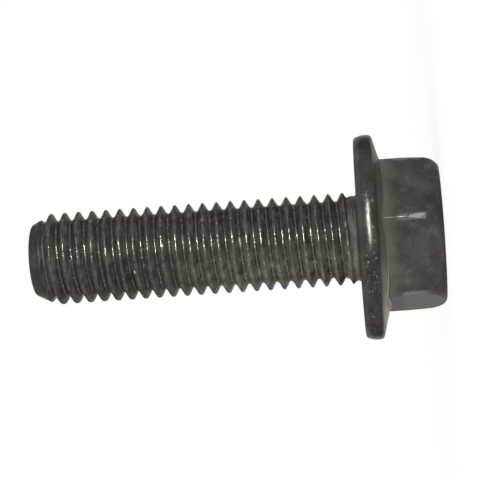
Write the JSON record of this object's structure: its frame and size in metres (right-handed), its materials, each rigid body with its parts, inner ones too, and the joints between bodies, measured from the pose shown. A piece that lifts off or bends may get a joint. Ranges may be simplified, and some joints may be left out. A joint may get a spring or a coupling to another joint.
{
  "type": "flange bolt",
  "caption": "Hexagon flange bolt: a bevelled hexagon head on a round sloped flange, and a metric thread along the whole shank to a bevelled point.",
  "frame": {"origin": "centre of the bearing face under the flange, on the bolt's axis", "axes": "+Z along the shank towards the point, so the bolt stands on its head; two of the wrench flats face +Y and -Y"},
  "size_m": [0.022, 0.022, 0.0439],
  "materials": {
    "steel": "dark oxidised steel with worn thread crests and a rust spot"
  },
  "bodies": {
    "root": {"flange_bolt": "steel"}
  },
  "joints": []
}
